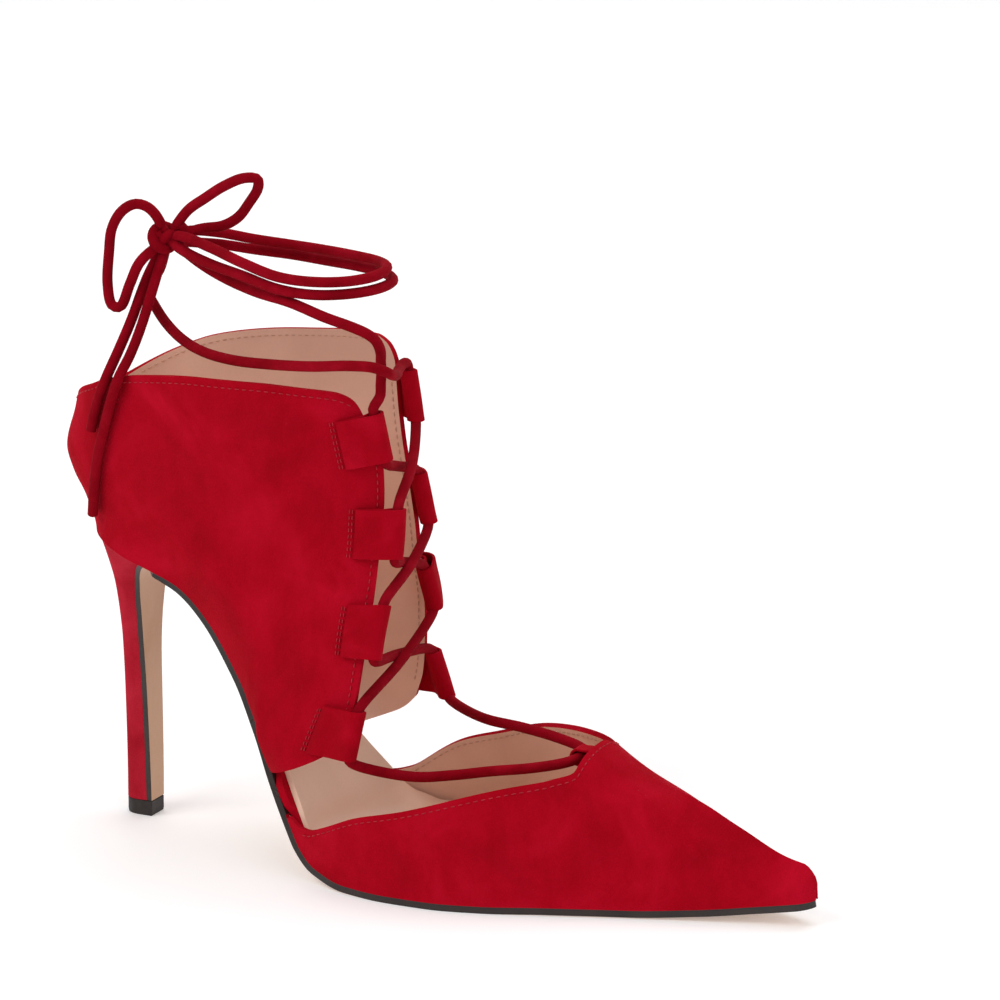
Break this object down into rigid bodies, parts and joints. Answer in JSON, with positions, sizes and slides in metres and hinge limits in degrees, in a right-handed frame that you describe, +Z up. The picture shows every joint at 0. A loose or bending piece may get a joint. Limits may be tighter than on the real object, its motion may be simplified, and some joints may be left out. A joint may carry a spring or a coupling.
{
  "type": "high heel shoe",
  "caption": "Right suede stiletto pump with a pointed toe, open sides, an ankle-high back laced through folded loops, and ties bowed round the ankle.",
  "frame": {"origin": "middle of the heel's top piece, on the ground", "axes": "+X from heel to toe, +Y to the inner side of the foot, +Z up"},
  "size_m": [0.2489, 0.0761, 0.2089],
  "materials": {
    "suede": "napped suede",
    "lining": "smooth lining leather",
    "sole": "smooth sole leather",
    "top_piece": "hard, slightly worn",
    "lace": "round suede cord"
  },
  "bodies": {
    "root": {"toplift": "top_piece", "heel": "suede", "outsole": "sole", "insole_board": "suede", "insole": "lining", "vamp": "suede", "quarter": "suede", "loop_outer_1": "suede", "loop_outer_2": "suede", "loop_outer_3": "suede", "loop_outer_4": "suede", "loop_inner_1": "suede", "loop_inner_2": "suede", "loop_inner_3": "suede", "loop_inner_4": "suede", "throat_loop": "suede", "lace_crossing_1": "lace", "lace_crossing_2": "lace", "lace_crossing_3": "lace", "lace_throat_run": "lace", "tie_outer": "lace", "tie_inner": "lace", "ankle_wrap_upper": "lace", "ankle_wrap_lower": "lace", "bow_loop_down": "lace", "bow_loop_up": "lace", "tie_end_long": "lace", "tie_end_short": "lace", "knot": "lace"}
  },
  "joints": []
}
